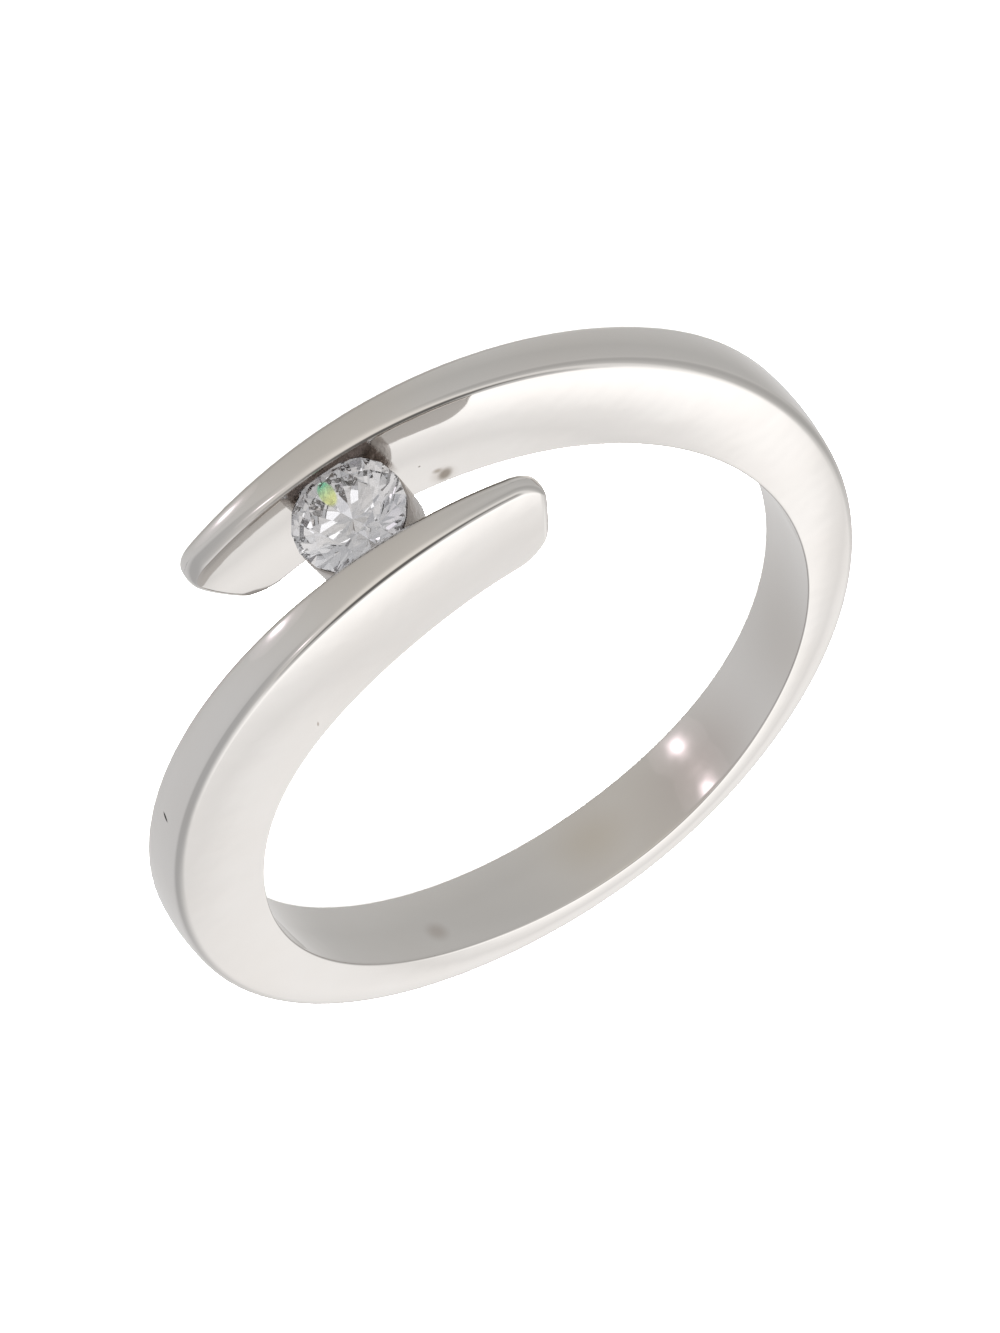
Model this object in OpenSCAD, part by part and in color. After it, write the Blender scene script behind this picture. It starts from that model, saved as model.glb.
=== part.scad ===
// Crossover ring: one polished white metal strip that runs round the finger, its two free
// ends passing each other at the front with one round cut stone held between them.
// Millimetres, +Z up. The ring lies on its side on the ground, with the stone towards -Y.
// The origin is on the ground under the middle of the whole ring.

/* [Band] */
// Radius of the finger hole
inner_radius = 8.6; // [7.6:0.1:10.4]
// How far each free end reaches past the middle of the stone, in degrees
end_reach = 23.9; // [22:0.1:26]
// Rounding at the tip of each arm where its top face turns down
tip_round_top = 0.83; // [0.5:0.01:1]
// Rounding at the tip of each arm next to the finger
tip_round_finger = 1.2; // [0.8:0.1:1.3]
// Rounding at the tip of each arm towards its two side faces
tip_round_side = 0.25; // [0.1:0.05:0.3]
// Dome of the outer face, as a share of the band's width
dome = 0.06; // [0.02:0.01:0.1]

/* [Stone] */
// Diameter of the round stone
stone_diameter = 3.2; // [3:0.05:3.3]
// Height of the stone's girdle above the finger hole
girdle_height = 2.68; // [2.55:0.01:2.75]
// Thickness of the girdle
girdle_thickness = 0.08; // [0.05:0.01:0.12]
// Width of the table as a share of the diameter
table_share = 0.58; // [0.5:0.01:0.65]
// Slope of the crown, in degrees
crown_angle = 34; // [30:0.5:36]
// Slope of the underside, in degrees
pavilion_angle = 40.8; // [39:0.1:42]

/* [Setting] */
// Gap between the stone and the metal
stone_gap = 0.04; // [0.03:0.01:0.06]
// Radius of the cup at its rim, under the girdle
cup_rim_radius = 1.7; // [1.65:0.01:1.75]
// Radius of the cup at its foot
cup_foot_radius = 1.55; // [1.4:0.01:1.6]
// Height of the cup's foot above the finger hole
cup_foot_height = 1.1; // [0.9:0.05:1.3]
// Diameter of the round opening under the stone
cup_hole_diameter = 1.4; // [1:0.1:1.6]

/* [Hidden] */
// Columns of the section table. The angle is measured from the back of the ring, rise is the
// middle of the strip above the middle of the ring, and the edges are the rounding radii of
// the outer face's upper and lower edge.
ANGLE = 0;
THICK = 1;
WIDTH = 2;
RISE = 3;
UPPER_EDGE = 4;
LOWER_EDGE = 5;
SECTIONS = [
    // angle, thick, width, rise, upper edge, lower edge
    [-204, 2.70, 0.91, 2.02, 0.24, 0.50],
    [-170, 3.15, 1.52, 1.88, 0.24, 0.16],
    [-136, 2.81, 1.74, 1.14, 0.28, 0.30],
    [-102, 2.13, 2.12, 0.83, 0.31, 0.35],
    [-68, 1.58, 2.43, 0.28, 0.33, 0.36],
    [-34, 1.14, 2.36, -0.01, 0.35, 0.35],
    [0, 0.80, 2.54, -0.01, 0.35, 0.35],
    [34, 0.93, 2.26, 0.01, 0.35, 0.35],
    [68, 1.39, 2.46, -0.21, 0.36, 0.33],
    [102, 2.07, 2.26, -0.62, 0.35, 0.31],
    [136, 2.87, 1.49, -0.98, 0.30, 0.28],
    [170, 3.50, 1.24, -1.63, 0.16, 0.24],
    [204, 2.90, 0.85, -2.34, 0.50, 0.24]
];
row_step = SECTIONS[1][ANGLE] - SECTIONS[0][ANGLE];
last_row = len(SECTIONS) - 1;
reach = 180 + end_reach;

// Stations along the strip: even ones, and closer ones in each rounded tip
even_stations = 92;
tip_stations = 6;
tip_length = 1.3;
tip_angle = tip_length / (inner_radius + SECTIONS[0][THICK] / 2) * 180 / PI;
// The swept body runs into the finger hole by this much, and the hole is cut out of it
hole_overlap = 0.3;
// Start of the finger rounding under the hole's wall, so that the two cross cleanly
tip_undercut = 0.06;
edge_segments = 3;
// An edge never takes more than this share of the section's width or height
edge_limit = 0.45;

// Section row i; past the table's ends the last two rows carry on in a straight line
function row(i) = i < 0 ? SECTIONS[0] + i * (SECTIONS[1] - SECTIONS[0])
    : i > last_row ? SECTIONS[last_row] + (i - last_row) * (SECTIONS[last_row] - SECTIONS[last_row - 1])
    : SECTIONS[i];

// The table's columns at angle a, on a smooth curve led by the four nearest rows
function section_at(a) = let(
    u = (a - SECTIONS[0][ANGLE]) / row_step,
    i = floor(u),
    t = u - i
) (pow(1 - t, 3) * row(i - 1) + (3 * pow(t, 3) - 6 * pow(t, 2) + 4) * row(i)
    + (-3 * pow(t, 3) + 3 * pow(t, 2) + 3 * t + 1) * row(i + 1) + pow(t, 3) * row(i + 2)) / 6;

// How far a quarter-round of radius r cuts in at this distance from the tip
function inset(distance, r) = let(t = min(1, distance / r)) r * (1 - sqrt(1 - pow(1 - t, 2)));

// One rounded corner of a section from angle a0 to a1, round centre [x, z]
function corner(x, z, r, a0, a1) = [
    for (k = [0:edge_segments]) let(a = a0 + (a1 - a0) * k / edge_segments) [x + r * cos(a), z + r * sin(a)]
];

// Outline of the strip at angle a, as [height over the finger hole, height along the hole]
function outline(a) = let(
    s = section_at(a),
    distance = (reach - abs(a)) * PI / 180 * (inner_radius + s[THICK] / 2),
    top = s[THICK] - inset(distance, tip_round_top),
    bottom = distance < tip_round_finger ? inset(distance, tip_round_finger) - tip_undercut : -hole_overlap,
    half = s[WIDTH] / 2 - inset(distance, tip_round_side),
    most = edge_limit * min(2 * half, top - bottom),
    up = min(s[UPPER_EDGE], most),
    low = min(s[LOWER_EDGE], most),
    rise = s[RISE],
    bulge = dome * s[WIDTH]
) concat(
    [[bottom, rise - half]],
    corner(top - low, rise - half + low, low, -90, 0),
    [[top + 0.75 * bulge, rise - half / 2], [top + bulge, rise], [top + 0.75 * bulge, rise + half / 2]],
    corner(top - up, rise + half - up, up, 0, 90),
    [[bottom, rise + half]]
);

// A point at height h over the hole, angle a from the back, and z along the hole
function place(h, a, z) = [-(inner_radius + h) * sin(a), (inner_radius + h) * cos(a), z];

tip_steps = [for (k = [0:tip_stations]) tip_angle * pow(k / tip_stations, 2)];
even_reach = reach - tip_angle;
stations = concat(
    [for (t = tip_steps) -reach + t],
    [for (k = [1:even_stations - 1]) -even_reach + 2 * even_reach * k / even_stations],
    [for (k = [tip_stations:-1:0]) reach - tip_steps[k]]
);
ring_of_points = len(outline(0));
strip_points = [for (a = stations) for (p = outline(a)) place(p[0], a, p[1])];

// Stone proportions: eight kites round the table, stars between them, two halves to each kite
stone_radius = stone_diameter / 2;
table_radius = table_share * stone_radius;
crown_height = (stone_radius - table_radius) * tan(crown_angle);
pavilion_depth = stone_radius * tan(pavilion_angle);
star_share = 0.5;
lower_half_share = 0.77;
KITES = 8;
kite_step = 360 / KITES;
girdle_top = girdle_height + girdle_thickness / 2;
girdle_bottom = girdle_height - girdle_thickness / 2;
round_facets = 96;

// Where the ring touches the ground: [angle from the back, height over the finger hole] of
// three points on the strip's lower side
TOUCHES = [[202, 0.3], [10, 0.52], [66, 1.06]];
function low_point(t) = let(s = section_at(t[0])) place(t[1], t[0], s[RISE] - s[WIDTH] / 2);
touch_points = [for (t = TOUCHES) low_point(t)];
ground = cross(touch_points[1] - touch_points[0], touch_points[2] - touch_points[0]);
ground_up = ground / norm(ground) * sign(ground[2]);
rest_axis = cross(ground_up, [0, 0, 1]) / norm(cross(ground_up, [0, 0, 1]));
rest_angle = acos(ground_up[2]);

// Point p after the turn that lays the ring on the ground
function turned(p) = p * cos(rest_angle) + cross(rest_axis, p) * sin(rest_angle)
    + rest_axis * (rest_axis * p) * (1 - cos(rest_angle));
turned_points = [for (p = strip_points) turned(p)];
function low(i) = min([for (p = turned_points) p[i]]);
function high(i) = max([for (p = turned_points) p[i]]);
origin = [(low(0) + high(0)) / 2, (low(1) + high(1)) / 2, low(2)];

module resting() {
    translate(-origin) rotate(a = rest_angle, v = rest_axis) children();
}

// The stone's own axis points out of the ring, towards the front
module facing_out() {
    rotate([90, 0, 0]) translate([0, 0, inner_radius]) children();
}

module strip() {
    n = ring_of_points;
    m = len(stations);
    sides = [
        for (i = [0:m - 2]) for (j = [0:n - 1]) let(
            p = i * n + j,
            q = i * n + (j + 1) % n
        ) each [[p, q, p + n], [q, q + n, p + n]]
    ];
    first_cap = [for (j = [1:n - 2]) [0, j + 1, j]];
    last_cap = [for (j = [1:n - 2]) [(m - 1) * n, (m - 1) * n + j, (m - 1) * n + j + 1]];
    polyhedron(points = strip_points, faces = concat(sides, first_cap, last_cap));
}

module finger_hole() {
    hole_length = 20;
    translate([0, 0, -hole_length / 2]) cylinder(r = inner_radius, h = hole_length, $fn = round_facets);
}

module cup_body() {
    rim_height = girdle_height;
    translate([0, 0, cup_foot_height])
        cylinder(r1 = cup_foot_radius, r2 = cup_rim_radius, h = rim_height - cup_foot_height, $fn = round_facets);
}

// The room that the stone takes, with its gap all round
module stone_room() {
    slope_gap_low = stone_gap / cos(pavilion_angle);
    slope_gap_high = stone_gap / cos(crown_angle);
    outer = stone_radius + stone_gap;
    low_edge = girdle_bottom - slope_gap_low + stone_gap * tan(pavilion_angle);
    high_edge = girdle_top + slope_gap_high - stone_gap * tan(crown_angle);
    top = girdle_top + crown_height + slope_gap_high;
    rotate_extrude($fn = round_facets) polygon([
        [0, girdle_bottom - pavilion_depth - slope_gap_low],
        [outer, low_edge],
        [outer, high_edge],
        [table_radius, top],
        [0, top]
    ]);
}

module cup_hole() {
    translate([0, 0, cup_foot_height - 1])
        cylinder(d = cup_hole_diameter, h = girdle_bottom - cup_foot_height + 1, $fn = round_facets);
}

function spot(radius, angle, height) = [radius * cos(angle), radius * sin(angle), height];

// A round brilliant: every facet is flat because its corners lie where the slopes meet
module brilliant() {
    star_radius = table_radius * cos(kite_step / 2) * (1 - star_share) + stone_radius * star_share;
    star_height = girdle_top + (stone_radius - star_radius * cos(kite_step / 2)) * tan(crown_angle);
    half_radius = stone_radius * (1 - lower_half_share);
    half_height = girdle_bottom - (stone_radius - half_radius * cos(kite_step / 2)) * tan(pavilion_angle);
    table = [for (k = [0:KITES - 1]) spot(table_radius, k * kite_step, girdle_top + crown_height)];
    stars = [for (k = [0:KITES - 1]) spot(star_radius, (k + 0.5) * kite_step, star_height)];
    upper = [for (k = [0:2 * KITES - 1]) spot(stone_radius, k * kite_step / 2, girdle_top)];
    lower = [for (k = [0:2 * KITES - 1]) spot(stone_radius, k * kite_step / 2, girdle_bottom)];
    halves = [for (k = [0:KITES - 1]) spot(half_radius, (k + 0.5) * kite_step, half_height)];
    culet = [0, 0, girdle_bottom - pavilion_depth];
    // Where each group starts in the list of points
    T = 0;
    S = T + KITES;
    U = S + KITES;
    L = U + 2 * KITES;
    H = L + 2 * KITES;
    C = H + KITES;
    faces = concat(
        [[for (k = [KITES - 1:-1:0]) T + k]],
        [for (k = [0:KITES - 1]) let(n = (k + 1) % KITES) each [
            [T + k, T + n, S + k],
            [T + n, S + n, U + 2 * n, S + k],
            [S + k, U + 2 * k + 1, U + 2 * k],
            [S + k, U + 2 * n, U + 2 * k + 1],
            [H + k, L + 2 * k, L + 2 * k + 1],
            [H + k, L + 2 * k + 1, L + 2 * n],
            [C, H + k, L + 2 * n, H + n]
        ]],
        [for (k = [0:2 * KITES - 1]) let(n = (k + 1) % (2 * KITES)) [U + k, U + n, L + n, L + k]]
    );
    polyhedron(points = concat(table, stars, upper, lower, halves, [culet]), faces = faces);
}

module band() {
    color([0.86, 0.85, 0.84]) resting() difference() {
        union() {
            strip();
            facing_out() cup_body();
        }
        finger_hole();
        facing_out() stone_room();
        facing_out() cup_hole();
    }
}

module stone() {
    color([0.85, 0.93, 0.97]) resting() facing_out() brilliant();
}

band();
stone();
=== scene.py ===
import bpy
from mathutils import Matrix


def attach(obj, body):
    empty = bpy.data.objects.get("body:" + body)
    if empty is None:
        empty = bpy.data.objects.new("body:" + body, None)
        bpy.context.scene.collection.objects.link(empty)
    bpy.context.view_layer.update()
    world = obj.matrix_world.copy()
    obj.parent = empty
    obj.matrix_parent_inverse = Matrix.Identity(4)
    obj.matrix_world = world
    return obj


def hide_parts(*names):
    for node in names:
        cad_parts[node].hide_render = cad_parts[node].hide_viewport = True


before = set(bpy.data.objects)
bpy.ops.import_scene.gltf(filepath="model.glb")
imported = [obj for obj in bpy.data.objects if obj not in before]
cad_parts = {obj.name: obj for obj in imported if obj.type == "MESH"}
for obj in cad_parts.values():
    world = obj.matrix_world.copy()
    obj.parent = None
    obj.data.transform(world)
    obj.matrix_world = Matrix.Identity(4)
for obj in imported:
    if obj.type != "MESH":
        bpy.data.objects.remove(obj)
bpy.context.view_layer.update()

import math

import bpy
import numpy as np
from mathutils import Matrix, Vector

# Camera
# A long lens looking down at the front of the ring as it lies on its side. The camera is
# rolled, so that the stone comes to the left and the ring's axis points to the lower right.
MM = 0.001
CAMERA_AZIMUTH, CAMERA_ELEVATION = -4.4615, 37.2509
CAMERA_ROLL = math.radians(-145.3828)
CAMERA_TARGET = Vector((-0.1916, 0.8152, 1.4353)) * MM
CAMERA_DISTANCE = 350.6 * MM
SENSOR_HEIGHT, FOCAL_LENGTH = 36, 360
CLIP_START, CLIP_END = 0.01, 10


def direction_from_ring(azimuth, elevation):
    """The unit vector out of the ring at this azimuth from the front and elevation, in degrees."""
    azimuth, elevation = math.radians(azimuth), math.radians(elevation)
    return Vector((
        math.sin(azimuth) * math.cos(elevation),
        -math.cos(azimuth) * math.cos(elevation),
        math.sin(elevation),
    ))


camera_back = direction_from_ring(CAMERA_AZIMUTH, CAMERA_ELEVATION)
level_right = Vector((0, 0, 1)).cross(camera_back).normalized()
level_up = camera_back.cross(level_right)
camera_right = math.cos(CAMERA_ROLL) * level_right - math.sin(CAMERA_ROLL) * level_up
camera_up = math.sin(CAMERA_ROLL) * level_right + math.cos(CAMERA_ROLL) * level_up
camera = bpy.data.objects.new("camera", bpy.data.cameras.new("camera"))
camera.matrix_world = Matrix.Translation(CAMERA_TARGET + camera_back * CAMERA_DISTANCE) @ Matrix(
    (camera_right, camera_up, camera_back)
).transposed().to_4x4()
camera.data.sensor_fit = "VERTICAL"
camera.data.sensor_height = SENSOR_HEIGHT
camera.data.lens = FOCAL_LENGTH
camera.data.clip_start = CLIP_START
camera.data.clip_end = CLIP_END
bpy.context.scene.collection.objects.link(camera)
bpy.context.scene.camera = camera
bpy.context.scene.view_settings.view_transform = "Standard"

# Studio
# A white tent: a pale board that the ring lies on, and four cloth walls whose tones the polished
# metal shows. The back wall is the brightest, the tent is open and dark overhead, and one lamp,
# with its mirror image below the board, gives the small highlights.
BOARD_COLOUR = "#F6F6F5"
BOARD_SIZE = 2.0
BOARD_ROUGHNESS = (0.85, 0.95)
# How many grains of the board lie side by side in a metre
BOARD_GRAINS = 400.0
TENT_STRENGTH = 1.5
# Each wall: height of the direction, from -1 straight down to 1 straight up, and the tone there
LEFT_WALL = (
    (-1.00, 0.45), (-0.80, 0.66), (-0.55, 0.54), (-0.30, 0.60), (-0.05, 0.50), (0.20, 0.48),
    (0.45, 0.55), (0.62, 0.63), (0.76, 0.90), (0.86, 0.80), (0.93, 0.22), (1.00, 0.15),
)
RIGHT_WALL = (
    (-1.00, 0.45), (-0.80, 0.66), (-0.60, 0.70), (-0.35, 0.69), (-0.20, 0.63), (0.00, 0.49),
    (0.50, 0.49), (0.75, 0.52), (0.86, 0.55), (0.93, 0.22), (1.00, 0.15),
)
FRONT_WALL = (
    (-1.00, 0.45), (-0.80, 0.54), (-0.55, 0.58), (-0.35, 0.60), (-0.15, 0.64), (0.10, 0.68),
    (0.35, 0.78), (0.60, 0.90), (0.86, 0.92), (0.92, 0.40), (0.96, 0.16), (1.00, 0.15),
)
BACK_WALL = (
    (-1.00, 0.50), (-0.80, 0.70), (-0.65, 0.72), (-0.45, 0.78), (0.00, 0.96), (0.33, 1.09),
    (0.42, 1.05), (0.49, 0.95), (0.57, 1.05), (0.64, 1.27), (0.70, 1.42), (0.84, 1.38),
    (0.90, 0.82), (0.965, 0.60), (0.99, 0.16), (1.00, 0.15),
)
FRONT_TINT = "#FFFBF5"
# The walls that take over from the front one: the direction's axis, where on it the wall starts
# and where it is full, its tones and its tint
OTHER_WALLS = (
    ("Y", -0.10, 0.15, BACK_WALL, "#FFFEFD"),
    ("X", -0.10, -0.65, LEFT_WALL, "#FFFEFC"),
    ("X", 0.05, 0.90, RIGHT_WALL, "#FEFEFF"),
)
# Two softboxes a metre away light the board alone: elevation in front, power and width
SOFTBOXES = (("softbox", 90, 90.0, 1.2), ("front_softbox", 25, 45.0, 0.8))
# The lamp is about 10 cm away, seen as soft discs about one middle: radius and brightness
LAMP_AND_IMAGE = ((45.0, -64.0, 55.0), (45.0, -64.0, -55.0))
LAMP_TINT = "#FFF1FB"
LAMP_DISCS = (
    (3.2, 1.6), (4.0, 1.2), (5.0, 0.8), (6.2, 0.5), (7.6, 0.3), (9.4, 0.16), (11.5, 0.10),
    (14.0, 0.07), (17.0, 0.05),
)
# Two white cards that only the stone's facets catch: elevation in front, radius and brightness
CARD_DISTANCE = 300.0
CARDS = ((12, 48.0, 0.75), (60, 150.0, 0.03))


def linear(colour):
    """Turns an sRGB hex colour into linear red, green, blue and alpha."""
    parts = [int(colour[i:i + 2], 16) / 255 for i in (1, 3, 5)]
    return [p / 12.92 if p <= 0.04045 else ((p + 0.055) / 1.055) ** 2.4 for p in parts] + [1.0]


def empty_tree(owner):
    """Gives a world or a material nodes, and returns their tree with nothing in it."""
    owner.use_nodes = True
    owner.node_tree.nodes.clear()
    return owner.node_tree


def add(tree, kind, inputs=(), **settings):
    """Adds a node; inputs pairs each socket with its value or with the socket that feeds it."""
    made = tree.nodes.new(kind)
    for setting, value in settings.items():
        setattr(made, setting, value)
    for socket, value in dict(inputs).items():
        if isinstance(value, bpy.types.NodeSocket):
            tree.links.new(value, made.inputs[socket])
        else:
            made.inputs[socket].default_value = value
    return made


def wall_tone(tree, height, steps, tint):
    """Adds the tone of one wall at this height, as a colour ramp; full tone is TENT_STRENGTH."""
    share = add(tree, "ShaderNodeMapRange", {"Value": height, "From Min": -1.0})
    made = add(tree, "ShaderNodeValToRGB", {"Fac": share.outputs["Result"]})
    stops = made.color_ramp.elements
    while len(stops) < len(steps):
        stops.new(1.0)
    for stop, (place, tone) in zip(stops, steps):
        stop.position = (place + 1) / 2
        stop.color = [c * tone / TENT_STRENGTH for c in linear(tint)[:3]] + [1.0]
    return made.outputs["Color"]


def place_light(name, place, power, width):
    """Adds a flat light at place, in metres, that faces the ring."""
    light = bpy.data.lights.new(name, "AREA")
    light.energy = power
    light.size = width
    made = bpy.data.objects.new(name, light)
    made.location = place
    made.rotation_euler = made.location.to_track_quat("Z", "Y").to_euler()
    bpy.context.scene.collection.objects.link(made)
    return made


def place_disc(name, place, radius, brightness):
    """Adds a round light, radius in mm, whose power is brightness times pi times its area."""
    area = math.pi * (radius * MM) ** 2
    made = place_light(name, place, brightness * math.pi * area, 2 * radius * MM)
    made.data.shape = "DISK"
    made.visible_camera = False
    return made


world = bpy.data.worlds.new("tent")
bpy.context.scene.world = world
tree = empty_tree(world)
direction = add(tree, "ShaderNodeTexCoord").outputs["Generated"]
part = add(tree, "ShaderNodeSeparateXYZ", {"Vector": direction})
height = part.outputs["Z"]
tone = wall_tone(tree, height, FRONT_WALL, FRONT_TINT)
for axis, start, full, steps, tint in OTHER_WALLS:
    share = add(tree, "ShaderNodeMapRange", {
        "Value": part.outputs[axis], "From Min": start, "From Max": full,
    }, interpolation_type="SMOOTHSTEP")
    tone = add(tree, "ShaderNodeMixRGB", {
        "Fac": share.outputs["Result"], "Color1": tone,
        "Color2": wall_tone(tree, height, steps, tint),
    }).outputs["Color"]
glow = add(tree, "ShaderNodeBackground", {"Color": tone, "Strength": TENT_STRENGTH})
add(tree, "ShaderNodeOutputWorld", {"Surface": glow.outputs["Background"]})

half = BOARD_SIZE / 2
floor_mesh = bpy.data.meshes.new("floor")
floor_mesh.from_pydata(
    [(-half, -half, 0), (half, -half, 0), (half, half, 0), (-half, half, 0)], [], [(0, 1, 2, 3)],
)
floor = bpy.data.objects.new("floor", floor_mesh)
bpy.context.scene.collection.objects.link(floor)
floor.visible_glossy = floor.visible_transmission = floor.visible_shadow = False
# Matt white board scatters light evenly and shows no highlight. Its grain is 2 to 3 mm wide.
matt_board = bpy.data.materials.new("matt_white_board")
tree = empty_tree(matt_board)
place = add(tree, "ShaderNodeTexCoord").outputs["Object"]
grain = add(tree, "ShaderNodeTexNoise", {"Vector": place, "Scale": BOARD_GRAINS, "Detail": 4.0})
roughness = add(tree, "ShaderNodeMapRange", {
    "Value": grain.outputs["Fac"], "To Min": BOARD_ROUGHNESS[0], "To Max": BOARD_ROUGHNESS[1],
})
board = add(tree, "ShaderNodeBsdfPrincipled", {
    "Base Color": linear(BOARD_COLOUR), "Roughness": roughness.outputs["Result"],
    "Specular IOR Level": 0.0,
})
add(tree, "ShaderNodeOutputMaterial", {"Surface": board.outputs["BSDF"]})
floor.data.materials.append(matt_board)

for name, elevation, power, width in SOFTBOXES:
    softbox = place_light(name, direction_from_ring(0, elevation), power, width)
    softbox.visible_glossy = softbox.visible_transmission = False
for place in LAMP_AND_IMAGE:
    for disc_radius, brightness in LAMP_DISCS:
        lamp = place_disc("lamp", Vector(place) * MM, disc_radius, brightness)
        lamp.data.color = linear(LAMP_TINT)[:3]
for elevation, card_radius, brightness in CARDS:
    place = direction_from_ring(0, elevation) * CARD_DISTANCE * MM
    white_card = place_disc("white_card", place, card_radius, brightness)
    white_card.visible_glossy = white_card.visible_diffuse = False

# Band
# One strip of cast silver, plated with rhodium and polished to a mirror. It is thin and wide at
# the back, and grows taller and narrower towards its two free ends, which pass each other at
# the front. The strip's profile is carried round the finger hole.
INNER_RADIUS = 8.6
# How far each arm reaches, in degrees from the middle of the back, and the rounds of its tip, as
# seen from its side, on the outer face and on the finger side, and from its front
END_REACH = 180 + 23.9
TIP_ROUND_TOP, TIP_ROUND_FINGER, TIP_ROUND_SIDE = 0.83, 1.2, 0.25
# How far the outer face is domed, as a share of its width, and how much more at the tips
DOME, TIP_DOME = 0.06, 0.05
TIP_DOME_ANGLES = (178, 192)
# How far each side leans in at the outer face, as a share of its height
SIDE_SWELL = 0.04
# How far the finger side's edges lie back from its middle: the lower edge, how much less the
# upper one does, and how much less again on the arms
FINGER_SWELL, UPPER_DROP, ARM_DROP = 0.05, 0.08, 0.06
ARM_DROP_ANGLES = (95, 150)
# The slope at which the sides draw in towards the finger, and where along the ring it sets in
FINGER_LEAN = 0.12
FINGER_LEAN_ANGLES = (-120, -20)
# The round between the finger side and a side, and the most that a round takes of the strip
INNER_EDGE = 0.05
EDGE_LIMIT = 0.45
ANGLE, THICK = 0, 1
BAND_SECTIONS = np.array([
    # angle from the back, thick, width, rise above the middle, upper edge, lower edge
    (-204, 2.70, 0.91, 2.02, 0.24, 0.50),
    (-170, 3.15, 1.52, 1.88, 0.24, 0.16),
    (-136, 2.81, 1.74, 1.14, 0.28, 0.30),
    (-102, 2.13, 2.12, 0.83, 0.31, 0.35),
    (-68, 1.58, 2.43, 0.28, 0.33, 0.36),
    (-34, 1.14, 2.36, -0.01, 0.35, 0.35),
    (0, 0.80, 2.54, -0.01, 0.35, 0.35),
    (34, 0.93, 2.26, 0.01, 0.35, 0.35),
    (68, 1.39, 2.46, -0.21, 0.36, 0.33),
    (102, 2.07, 2.26, -0.62, 0.35, 0.31),
    (136, 2.87, 1.49, -0.98, 0.30, 0.28),
    (170, 3.50, 1.24, -1.63, 0.16, 0.24),
    (204, 2.90, 0.85, -2.34, 0.50, 0.24),
])
# Points along half of the outline: finger side, its round, side, outer edge's round, outer face
FINGER_POINTS, CORNER_POINTS, SIDE_POINTS, EDGE_POINTS, FACE_POINTS = 16, 8, 32, 15, 12
# Stations along half of the strip: the tip, the arm as far as the notch, the notch and the rest
TIP_LENGTH = 1.3
NOTCH_START, NOTCH_END = 190, 170
TIP_STATIONS, ARM_STEPS, NOTCH_STEPS, BACK_STEPS = 36, 11, 119, 123
# The outlines that close a tip, as shares of its last one
TIP_CLOSING = np.array((0.15, 0.4, 0.65, 0.85))
# The strip shows a crease where it bends by more than this, in degrees
STRIP_CREASE = 40
# How the ring lies: the turn that brings its low side down, and the point that comes to (0, 0, 0)
REST_AXIS = np.array((-0.943066, -0.332605, 0.0))
REST_ANGLE = math.radians(4.83911)
REST_ORIGIN = np.array((0.0392089, -1.21489, -1.97498))
# The stone's room: its radius and the gap round it, its girdle as heights over the finger hole,
# and the slopes above and below that
STONE_RADIUS = 1.6
STONE_GAP = 0.04
GIRDLE_LOW, GIRDLE_HIGH = 2.64, 2.72
CROWN_SLOPE = math.tan(math.radians(34))
PAVILION_SLOPE = math.tan(math.radians(40.8))
# The seat's dull metal beside the stone, with painted brown shade standing for the stone's
# shaded underside that it reflects: its middle across the front, the distances from there and
# the heights over the finger hole at which it starts and is full, and how many points of the
# outer edge's round it takes in
SEAT_MIDDLE = -0.12
SEAT_REACH = (1.87, 1.77)
SEAT_HEIGHTS = (1.3, 2.2)
SEAT_EDGE_POINTS = 4


def lay_down(grid):
    """Turns points of the upright ring about the rest axis, shifts them and makes them metres."""
    points = grid.reshape(-1, 3)
    across = np.cross(REST_AXIS, points)
    along = np.outer(points @ REST_AXIS, REST_AXIS)
    turned = points * math.cos(REST_ANGLE) + across * math.sin(REST_ANGLE)
    laid = (turned + along * (1 - math.cos(REST_ANGLE)) - REST_ORIGIN) * MM
    return laid.reshape(grid.shape)


def band_columns(angle):
    """The section table's columns at each angle: a cubic B-spline led by the four nearest rows."""
    before = 2 * BAND_SECTIONS[0] - BAND_SECTIONS[1]
    after = 2 * BAND_SECTIONS[-1] - BAND_SECTIONS[-2]
    table = np.vstack([before, BAND_SECTIONS, after])
    u = (angle - BAND_SECTIONS[0, ANGLE]) / (BAND_SECTIONS[1, ANGLE] - BAND_SECTIONS[0, ANGLE])
    i = np.floor(u).astype(int)
    t = u - i
    weights = (1 - t) ** 3, 3 * t**3 - 6 * t**2 + 4, -3 * t**3 + 3 * t**2 + 3 * t + 1, t**3
    return sum(w[:, None] * table[i + k] for k, w in enumerate(weights)) / 6


def cut_in(distance, radius):
    """How far a quarter-round of this radius cuts in at this distance from the tip."""
    t = np.minimum(1, distance / radius)
    return radius * (1 - np.sqrt(1 - (1 - t) ** 2))


def ease(value, start, end):
    """0 up to start and 1 from end on, with a smooth rise between."""
    share = np.clip((value - start) / (end - start), 0, 1)
    return share**2 * (3 - 2 * share)


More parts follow.
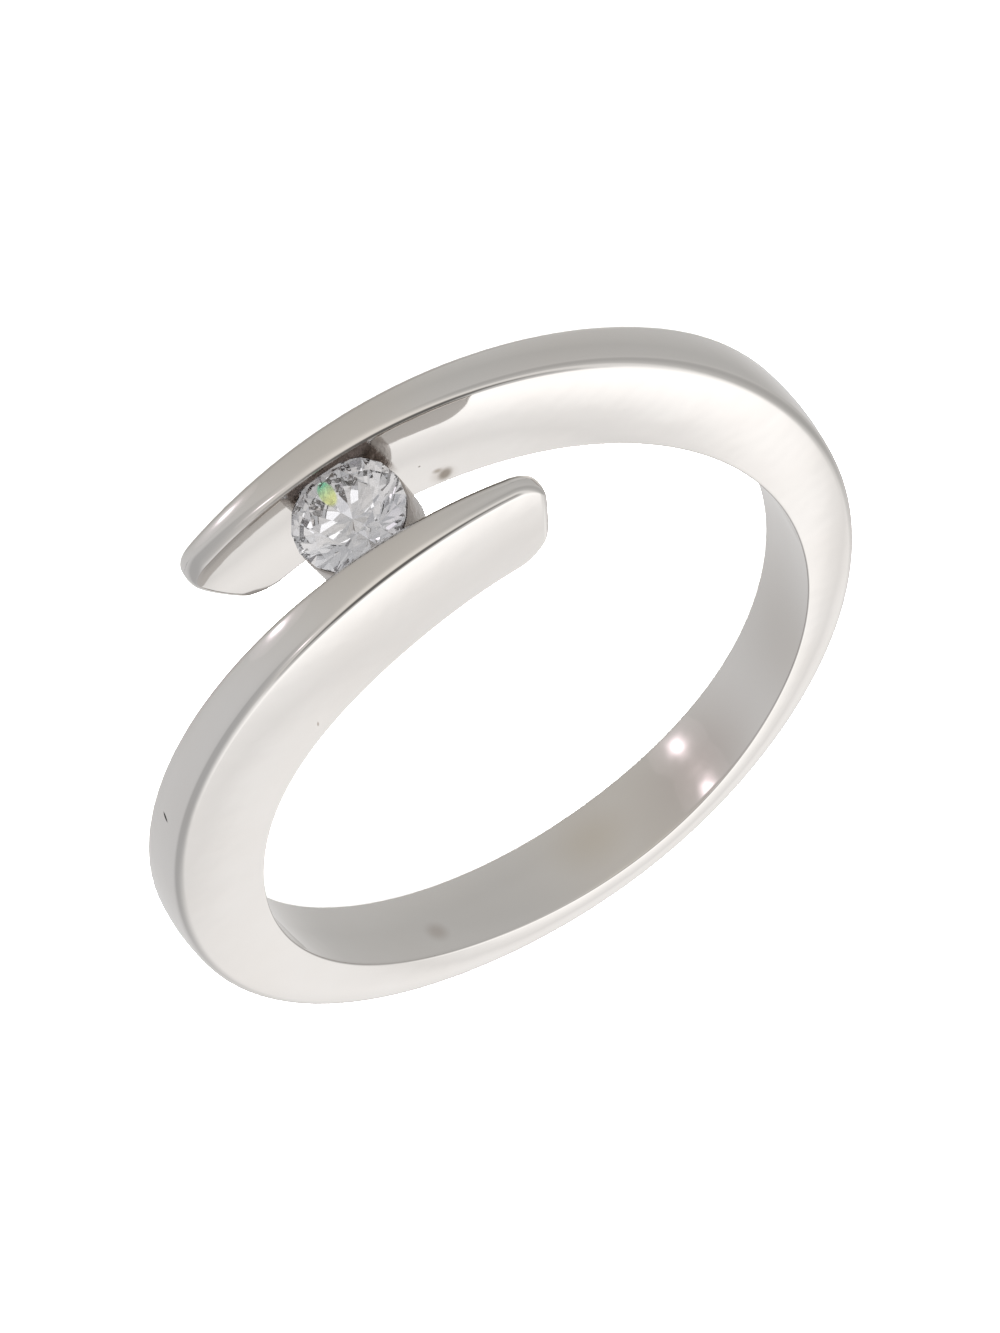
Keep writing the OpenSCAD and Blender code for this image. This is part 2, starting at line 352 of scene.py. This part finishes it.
def band_profile(angle):
    """The strip's closed outline at each angle, as across and height over the finger hole.

    Its outer face is a parabola, fuller towards the tips. Its finger side is a flatter one, whose
    upper half bends the other way. Its sides lean in towards the outer face as the cube of the
    height and, from the back of the ring to one arm, towards the finger as a square. Rounds join
    them, each in the direction of its neighbours at its ends."""
    _, thick, width, rise, upper_edge, lower_edge = band_columns(angle).T[..., None]
    angle = angle[:, None]
    distance = np.radians(END_REACH - np.abs(angle)) * (INNER_RADIUS + thick / 2)
    low = cut_in(distance, TIP_ROUND_FINGER)
    high = thick - cut_in(distance, TIP_ROUND_TOP)
    finger_slope = FINGER_LEAN * ease(angle, *FINGER_LEAN_ANGLES)
    finger_turn = np.arctan(finger_slope)
    half = width / 2 - cut_in(distance, TIP_ROUND_SIDE) + finger_slope * (high - low) / 4
    fuller = TIP_DOME * ease(np.abs(angle), *TIP_DOME_ANGLES) * width
    bulge = DOME * width + fuller
    high = high - fuller
    swell = SIDE_SWELL * (high - low)
    lean = math.atan(3 * SIDE_SWELL)
    most = EDGE_LIMIT * np.minimum(2 * half, high - low)
    inner = np.minimum(INNER_EDGE, most / 2)
    drop = UPPER_DROP + ARM_DROP * ease(np.abs(angle), *ARM_DROP_ANGLES)
    halves = []
    for edge, finger_swell, sign in (
        (upper_edge, FINGER_SWELL - drop, 1), (lower_edge, FINGER_SWELL, -1),
    ):
        radius = np.minimum(edge, most)
        # The round meets the outer face where their directions agree; four steps settle where
        tilt = np.zeros_like(radius)
        for _ in range(4):
            face_end = half - radius * (1 - np.sin(tilt))
            tilt = np.arctan(2 * bulge * face_end / half**2)
        centre_x = half - swell - radius * math.cos(lean)
        face_end = centre_x + radius * np.sin(tilt)
        centre_h = high + bulge * (1 - (face_end / half) ** 2) - radius * np.cos(tilt)
        side_low = low + finger_swell + inner - inner * np.sin(finger_turn)
        side_high = centre_h + radius * math.sin(lean)
        pillow = finger_slope * (side_high - side_low) / 2
        finger_end = half - pillow - inner * np.cos(finger_turn)
        finger_x = finger_end * np.linspace(0, 1, FINGER_POINTS, endpoint=False)
        finger_h = low + finger_swell * (finger_x / finger_end) ** 2
        turn = -math.pi / 2 + (math.pi / 2 - finger_turn) * np.linspace(0, 1, CORNER_POINTS)
        corner_x = finger_end + inner * np.cos(turn)
        corner_h = low + finger_swell + inner + inner * np.sin(turn)
        t = np.linspace(0, 1, SIDE_POINTS + 2)[1:-1]
        side_x = half - swell * t**3 - pillow * (1 - t) ** 2
        side_h = side_low + (side_high - side_low) * t
        turn = lean + (math.pi / 2 - tilt - lean) * np.linspace(0, 1, EDGE_POINTS)
        edge_x = centre_x + radius * np.cos(turn)
        edge_h = centre_h + radius * np.sin(turn)
        face_x = face_end * np.linspace(1, 0, FACE_POINTS + 1)[1:]
        face_h = high + bulge * (1 - (face_x / half) ** 2)
        across = np.hstack([finger_x, corner_x, side_x, edge_x, face_x])
        up = np.hstack([finger_h, corner_h, side_h, edge_h, face_h])
        halves.append((rise + sign * across, up))
    (upper_x, upper_h), (lower_x, lower_h) = halves
    return np.hstack([upper_x, lower_x[:, -2:0:-1]]), np.hstack([upper_h, lower_h[:, -2:0:-1]])


def drawn_in(outline, shares):
    """Copies of one coordinate of an outline, drawn in towards its middle to each share."""
    middle = outline.mean()
    return middle + shares[:, None] * (outline - middle)


def surface(name, grid, closed_rows=False):
    """A mesh through a grid of points whose columns run round in a ring.

    The rows either run round as well, or each end closes on a point in its middle."""
    rows, columns = grid.shape[:2]
    points = grid.reshape(-1, 3)
    row = np.arange(rows if closed_rows else rows - 1)[:, None] * columns
    column = np.arange(columns)[None]
    after = (row + columns) % (rows * columns)
    right = (column + 1) % columns
    quads = np.stack([row + column, row + right, after + right, after + column], -1)
    faces = quads.reshape(-1, 4).tolist()
    if not closed_rows:
        points = np.vstack([points, grid[0].mean(0), grid[-1].mean(0)])
        last = (rows - 1) * columns
        ring = np.arange(columns)
        first_pole = np.full(columns, rows * columns)
        faces += np.stack([np.roll(ring, -1), ring, first_pole], -1).tolist()
        faces += np.stack([last + ring, last + np.roll(ring, -1), first_pole + 1], -1).tolist()
    mesh = bpy.data.meshes.new(name)
    mesh.from_pydata(points.tolist(), [], faces)
    mesh.polygons.foreach_set("use_smooth", [True] * len(faces))
    mesh.update()
    made = bpy.data.objects.new(name, mesh)
    bpy.context.scene.collection.objects.link(made)
    return made


def make_notches(points):
    """Moves the side walls that lie inside the stone's room out to that room's round wall.

    Returns which points moved."""
    x, y, z = points[..., 0], points[..., 1], points[..., 2]
    height = -y - INNER_RADIUS
    outer = STONE_RADIUS + STONE_GAP
    below = outer - (GIRDLE_LOW - STONE_GAP / 2 - height) / PAVILION_SLOPE
    above = outer - (height - GIRDLE_HIGH - STONE_GAP / 2) / CROWN_SLOPE
    room = np.minimum(outer, np.minimum(below, above))
    inside = (room > 0) & (x**2 + z**2 < room**2)
    reach = np.sqrt(np.maximum(0, room**2 - x**2))
    z[inside] = (np.sign(z) * reach)[inside]
    return inside


def set_share(made, name, values):
    """Stores one number from 0 to 1 for each point of the mesh, 0 at its poles, for materials."""
    layer = made.data.attributes.new(name, "FLOAT", "POINT")
    values = np.pad(values.ravel().astype(np.float32), (0, len(layer.data) - values.size))
    layer.data.foreach_set("value", values)


tip_angle = math.degrees(TIP_LENGTH / (INNER_RADIUS + BAND_SECTIONS[0, THICK] / 2))
half_way = np.concatenate([
    END_REACH - tip_angle * np.linspace(0, 1, TIP_STATIONS) ** 2,
    np.linspace(END_REACH - tip_angle, NOTCH_START, ARM_STEPS + 1)[1:],
    np.linspace(NOTCH_START, NOTCH_END, NOTCH_STEPS + 1)[1:],
    np.linspace(NOTCH_END, 0, BACK_STEPS + 1)[1:],
])
stations = np.concatenate([-half_way, half_way[-2::-1]])
across, up = (
    np.vstack([drawn_in(part[0], TIP_CLOSING), part, drawn_in(part[-1], TIP_CLOSING[::-1])])
    for part in band_profile(stations)
)
turn = np.radians(np.pad(stations, len(TIP_CLOSING), mode="edge"))[:, None]
radius = INNER_RADIUS + up
grid = np.stack([-radius * np.sin(turn), radius * np.cos(turn), across], -1)
notched = make_notches(grid)
strip = surface("band_strip", lay_down(grid))
strip.data.set_sharp_from_angle(angle=math.radians(STRIP_CREASE))

finger_end = FINGER_POINTS + CORNER_POINTS // 2
outer_start = FINGER_POINTS + CORNER_POINTS + SIDE_POINTS + SEAT_EDGE_POINTS
finger_side = np.zeros(grid.shape[:2])
finger_side[:, :finger_end] = finger_side[:, 1 - finger_end:] = 1
set_share(strip, "finger_side", finger_side)
# The seat's dull metal and its painted brown shade run on over the upper part of the arms' side
# walls beside the stone
from_stone = np.hypot(grid[..., 0] - SEAT_MIDDLE, grid[..., 2])
beside = ease(from_stone, *SEAT_REACH) * ease(up, *SEAT_HEIGHTS) * (grid[..., 1] < 0)
beside[:, outer_start:1 - outer_start] = 0
set_share(strip, "seat", np.maximum(notched, beside * (1 - finger_side)))

# Small marks on the metal: middle in mm, half sizes in mm, turn, tint, and how soft the edge is
MARKS = (
    ((8.63, -5.97, 3.91), (0.060, 0.060, 0.18), (-31, 21, 0), "#2B2723", 0.5),
    ((-7.13, -5.61, 2.12), (0.045, 0.045, 0.045), (0, 0, 0), "#C2BDB6", 0.6),
    ((-2.13, -8.39, 1.70), (0.055, 0.055, 0.055), (0, 0, 0), "#958F89", 0.6),
    ((3.93, -6.66, 5.05), (0.040, 0.15, 0.060), (0, 0, -20), "#CFCAC4", 0.7),
    ((-2.50, -7.41, 1.66), (0.26, 0.37, 0.40), (0, 0, -35), "#B9B4AD", 0.7),
    ((-2.40, -7.74, 1.68), (0.20, 0.16, 0.25), (0, 0, -35), "#CBC5BE", 0.9),
    ((-2.44, -7.42, 1.65), (0.50, 0.55, 0.50), (0, 0, 0), "#E4E0DC", 1.0),
    ((5.77, 7.58, 2.08), (0.46, 0.46, 0.46), (0, 0, 0), "#E8E4E1", 0.9),
)
# Slightly darker patches of the finger side alone
FINGER_PATCHES = (
    ((-2.40, 9.45, 1.60), (3.20, 2.40, 2.40), (0, 0, 0), "#E8E3E1", 1.0),
    ((1.20, 9.75, 1.20), (1.60, 1.20, 1.20), (0, 0, 0), "#F6F3EE", 1.0),
    ((-6.50, 7.00, 1.60), (3.20, 3.20, 3.20), (0, 0, 0), "#EFEDEB", 1.0),
)
# The seat's brown, dark and light, is painted shade for the stone's shaded underside
PLATING_COLOURS = ("#E5E3E1", "#E0DCD8")
SEAT_SHADE_COLOURS = ("#6F635C", "#A0948C")
POLISHED_ROUGHNESS = (0.045, 0.085)
CUT_ROUGHNESS = 0.35
# How many patches of each pattern lie side by side in a metre, and what the haze's values span
HAZE_PATCHES, CLOUD_PATCHES, SEAT_SPECKLES, POLISH_WAVES = 900.0, 350.0, 4000.0, 700.0
HAZE_SPAN = (0.3, 0.7)
WAVE_DEPTH, CHATTER_DEPTH = 0.010, 0.06


def spot(tree, place, middle, half_sizes, turn, softness):
    """Adds a mask, 1 inside a turned ellipsoid about middle, fading to 0 at its surface."""
    near = add(tree, "ShaderNodeMapping", {
        "Vector": place, "Location": [m * MM for m in middle],
        "Rotation": [math.radians(t) for t in turn], "Scale": [h * MM for h in half_sizes],
    }, vector_type="TEXTURE")
    reach = add(tree, "ShaderNodeVectorMath", {0: near.outputs["Vector"]}, operation="LENGTH")
    return add(tree, "ShaderNodeMapRange", {
        "Value": reach.outputs["Value"], "From Min": 1.0, "From Max": 1.0 - softness,
    }, interpolation_type="SMOOTHSTEP").outputs["Result"]


def tinted(tree, place, colour, marks):
    """Multiplies the colour by each mark's tint within the mark."""
    for middle, half_sizes, turn, tint, softness in marks:
        colour = add(tree, "ShaderNodeMixRGB", {
            "Fac": spot(tree, place, middle, half_sizes, turn, softness),
            "Color1": colour, "Color2": linear(tint),
        }, blend_type="MULTIPLY").outputs["Color"]
    return colour


# Rhodium plate on polished silver is a bright, slightly grey mirror. Its gloss varies in a haze
# with patches of about 1 mm, and its colour in clouds of about 3 mm.
silver = bpy.data.materials.new("rhodium_plated_silver_mirror_polished")
tree = empty_tree(silver)
place = add(tree, "ShaderNodeTexCoord").outputs["Object"]
haze = add(tree, "ShaderNodeTexNoise", {
    "Vector": place, "Scale": HAZE_PATCHES, "Detail": 5.0, "Roughness": 0.6,
})
cloud = add(tree, "ShaderNodeTexNoise", {"Vector": place, "Scale": CLOUD_PATCHES, "Detail": 3.0})
plating = add(tree, "ShaderNodeMixRGB", {
    "Fac": cloud.outputs["Fac"],
    "Color1": linear(PLATING_COLOURS[0]), "Color2": linear(PLATING_COLOURS[1]),
}).outputs["Color"]
plated = add(tree, "ShaderNodeMixRGB", {
    "Fac": add(tree, "ShaderNodeAttribute", attribute_name="finger_side").outputs["Fac"],
    "Color1": plating, "Color2": tinted(tree, place, plating, FINGER_PATCHES),
})
# Where the stone's seat was cut, the metal stays dull. Its brown is painted shade, standing for
# the stone's shaded underside that it reflects, mottled in specks of about a quarter of a
# millimetre
seat = add(tree, "ShaderNodeAttribute", attribute_name="seat").outputs["Fac"]
seat_speckle = add(tree, "ShaderNodeTexNoise", {"Vector": place, "Scale": SEAT_SPECKLES, "Detail": 4.0})
painted_seat_shade = add(tree, "ShaderNodeMixRGB", {
    "Fac": seat_speckle.outputs["Fac"],
    "Color1": linear(SEAT_SHADE_COLOURS[0]), "Color2": linear(SEAT_SHADE_COLOURS[1]),
})
seat_shaded = add(tree, "ShaderNodeMixRGB", {
    "Fac": seat, "Color1": plated.outputs["Color"], "Color2": painted_seat_shade.outputs["Color"],
})
gloss = add(tree, "ShaderNodeMapRange", {
    "Value": haze.outputs["Fac"], "From Min": HAZE_SPAN[0], "From Max": HAZE_SPAN[1],
    "To Min": POLISHED_ROUGHNESS[0], "To Max": POLISHED_ROUGHNESS[1],
})
roughness = add(tree, "ShaderNodeMapRange", {
    "Value": seat, "To Min": gloss.outputs["Result"], "To Max": CUT_ROUGHNESS,
})
# The polishing wheel leaves waves 1 to 2 mm long, and the cutter chatters in the seat
wave = add(tree, "ShaderNodeTexNoise", {"Vector": place, "Scale": POLISH_WAVES, "Detail": 2.0})
waved = add(tree, "ShaderNodeBump", {
    "Height": wave.outputs["Fac"], "Strength": 1.0, "Distance": WAVE_DEPTH * MM,
})
chatter = add(tree, "ShaderNodeBump", {
    "Height": seat_speckle.outputs["Fac"], "Strength": seat, "Distance": CHATTER_DEPTH * MM,
    "Normal": waved.outputs["Normal"],
})
metal = add(tree, "ShaderNodeBsdfPrincipled", {
    "Base Color": tinted(tree, place, seat_shaded.outputs["Color"], MARKS), "Metallic": 1.0,
    "Roughness": roughness.outputs["Result"], "Normal": chatter.outputs["Normal"],
})
add(tree, "ShaderNodeOutputMaterial", {"Surface": metal.outputs["BSDF"]})
strip.data.materials.append(silver)
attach(strip, "root")
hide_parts("band")

# Cup
# A thin round tube of the same metal, turned and soldered between the two arms. Its rim carries
# the stone just under the girdle, and its floor is open, so that light reaches the stone.
CUP_PROFILE = np.array([
    # radius, height over the finger hole
    (0.72, 1.10), (1.50, 1.10), (1.55, 1.12), (1.57, 1.18),
    (1.59, 1.70), (1.60, 2.20), (1.60, 2.46), (1.59, 2.50), (1.57, 2.51), (1.52, 2.51),
    (1.44, 2.47), (1.41, 2.42), (0.75, 1.80), (0.71, 1.75), (0.70, 1.68), (0.70, 1.14),
])
CUP_AROUND = 144
# The cup shows a crease where it bends by more than this, in degrees
CUP_CREASE = 50
# The cup is dull and carries the seat's painted brown shade where its radius is larger than this,
# and nearly polished inside
CUP_OUTSIDE = 1.48
CUP_DULL_AND_SHADED, CUP_BRIGHT = 0.55, 0.05
around = np.linspace(0, 2 * math.pi, CUP_AROUND, endpoint=False)[:, None]
radius, height = CUP_PROFILE[None, ::-1, 0], CUP_PROFILE[None, ::-1, 1]
grid = np.stack(np.broadcast_arrays(
    radius * np.cos(around), -(INNER_RADIUS + height), radius * np.sin(around),
), -1)
cup = surface("stone_cup", lay_down(grid), closed_rows=True)
cup.data.set_sharp_from_angle(angle=math.radians(CUP_CREASE))
# The cup's outside takes the seat's dull metal and its painted brown shade
cup_dull_and_shaded = np.where(radius > CUP_OUTSIDE, CUP_DULL_AND_SHADED, CUP_BRIGHT)
set_share(cup, "seat", np.broadcast_to(cup_dull_and_shaded, grid.shape[:2]))
cup.data.materials.append(silver)
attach(cup, "root")
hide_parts("band")

# Stone
# A round brilliant of clear cubic zirconia, cut and polished flat, so that it throws the
# studio back in bright and dark wedges. It lies in the cup and is held by the two arms.
ZIRCONIA_COLOURS = ("#F6F6F8", "#D3D5DE")
ZIRCONIA_IOR = 2.16
# How many of its greyer places lie side by side in a metre
GREY_PLACES = 1500.0
# Painted fire: a tint painted on one wedge under the table stands for the flash of split light,
# green at its outer end, yellow inwards. Its middle and half sizes in mm, how soft its edge is,
# and the heights of the two colours
PAINTED_FIRE_PLACE = (0.06, -10.57, 2.32)
PAINTED_FIRE_SIZES = (0.25, 0.40, 0.50)
PAINTED_FIRE_SOFTNESS = 0.3
PAINTED_FIRE_HEIGHTS = (2.05, 2.50)
PAINTED_FIRE_COLOURS = ("#3FD688", "#E9F56A")
# Light is thrown to and fro in the stone many times before it leaves
LIGHT_TURNS = 32

# Zirconia bends light strongly, so each facet shows another tone. It is a little greyer in places
# well under 1 mm wide.
zirconia = bpy.data.materials.new("cubic_zirconia_polished")
tree = empty_tree(zirconia)
place = add(tree, "ShaderNodeTexCoord").outputs["Object"]
cast = add(tree, "ShaderNodeTexNoise", {"Vector": place, "Scale": GREY_PLACES, "Detail": 1.0})
clear = add(tree, "ShaderNodeMixRGB", {
    "Fac": cast.outputs["Fac"],
    "Color1": linear(ZIRCONIA_COLOURS[0]), "Color2": linear(ZIRCONIA_COLOURS[1]),
})
along = add(tree, "ShaderNodeMapRange", {
    "Value": add(tree, "ShaderNodeSeparateXYZ", {"Vector": place}).outputs["Z"],
    "From Min": PAINTED_FIRE_HEIGHTS[0] * MM, "From Max": PAINTED_FIRE_HEIGHTS[1] * MM,
})
painted_fire_hue = add(tree, "ShaderNodeMixRGB", {
    "Fac": along.outputs["Result"],
    "Color1": linear(PAINTED_FIRE_COLOURS[0]), "Color2": linear(PAINTED_FIRE_COLOURS[1]),
})
# The painted fire tints light where it enters, and not again where it meets the facets from inside
inside = add(tree, "ShaderNodeNewGeometry").outputs["Backfacing"]
entering = add(tree, "ShaderNodeMath", {0: 1.0, 1: inside}, operation="SUBTRACT")
painted_fire = add(tree, "ShaderNodeMath", {
    0: spot(tree, place, PAINTED_FIRE_PLACE, PAINTED_FIRE_SIZES, (0, 0, 0), PAINTED_FIRE_SOFTNESS),
    1: entering.outputs["Value"],
}, operation="MULTIPLY")
# The painted fire's green-to-yellow tint is mixed into the stone's colour here
with_painted_fire = add(tree, "ShaderNodeMixRGB", {
    "Fac": painted_fire.outputs["Value"],
    "Color1": clear.outputs["Color"], "Color2": painted_fire_hue.outputs["Color"],
})
crystal = add(tree, "ShaderNodeBsdfPrincipled", {
    "Base Color": with_painted_fire.outputs["Color"], "Roughness": 0.0, "IOR": ZIRCONIA_IOR,
    "Transmission Weight": 1.0,
})
add(tree, "ShaderNodeOutputMaterial", {"Surface": crystal.outputs["BSDF"]})
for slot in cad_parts["stone"].material_slots:
    slot.material = zirconia
paths = bpy.context.scene.cycles
paths.max_bounces = paths.transmission_bounces = paths.glossy_bounces = LIGHT_TURNS
